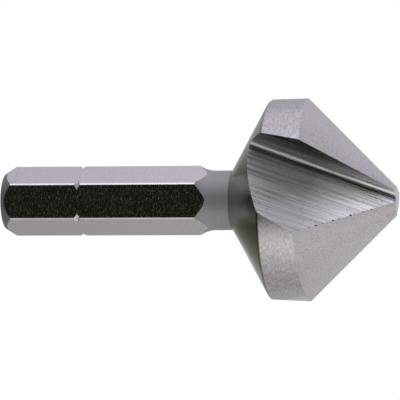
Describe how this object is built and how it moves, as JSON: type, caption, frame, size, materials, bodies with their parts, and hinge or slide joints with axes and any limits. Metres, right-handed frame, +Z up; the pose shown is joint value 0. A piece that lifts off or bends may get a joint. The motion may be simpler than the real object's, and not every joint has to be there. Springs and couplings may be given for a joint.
{
  "type": "countersink bit",
  "caption": "Fluted countersink bit: a ground right-angled cone with relieved cutting lands, a turned neck and a hexagonal drive shank notched at its corners.",
  "frame": {"origin": "on the ground, under the middle of the bit's bounding box, as it lies at rest", "axes": "+X along the ground from the shank towards the point, +Z up; the tool axis leans up from +X by about 12 degrees, because the head is wider than the shank"},
  "size_m": [0.041, 0.0208, 0.0202],
  "materials": {
    "ground_steel": "bare steel: rolled hex flats, turned neck, ground lands and flutes"
  },
  "bodies": {
    "root": {"countersink_bit": "ground_steel"}
  },
  "joints": []
}
